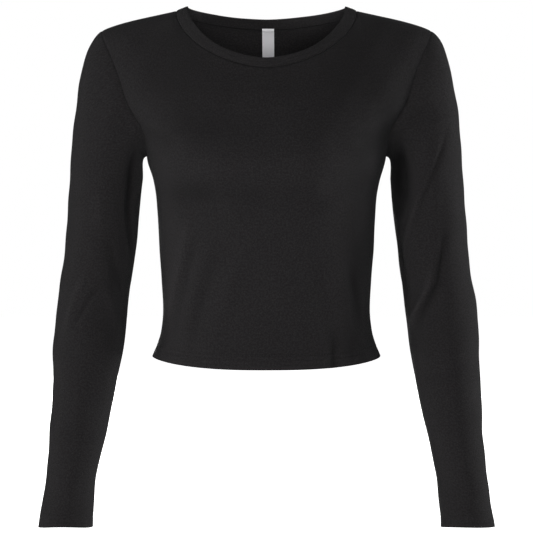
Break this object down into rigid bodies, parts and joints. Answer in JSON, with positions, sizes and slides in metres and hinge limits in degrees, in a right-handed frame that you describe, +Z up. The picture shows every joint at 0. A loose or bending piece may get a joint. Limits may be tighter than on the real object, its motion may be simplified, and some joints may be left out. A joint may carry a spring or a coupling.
{
  "type": "crop top",
  "caption": "Fitted long-sleeved crop top in black jersey with a wide scooped neck, a sewn neckband, set-in sleeves and a cropped hem, filled out as it is worn.",
  "frame": {"origin": "midway between the two neck points of the shoulder seams, at their height, where the top rests on the wearer's shoulders", "axes": "+Z up, towards the neck; -Y out of the front; +X towards the wearer's left sleeve"},
  "size_m": [0.5676, 0.216, 0.6456],
  "materials": {
    "jersey": "matte black fine-rib cotton jersey",
    "neck_jersey": "matte black fine-rib cotton jersey, folded double",
    "satin": "white woven satin, blank"
  },
  "bodies": {
    "root": {"front": "jersey", "back": "jersey", "sleeve_left": "jersey", "sleeve_right": "jersey", "neckband": "neck_jersey", "label": "satin"}
  },
  "joints": []
}
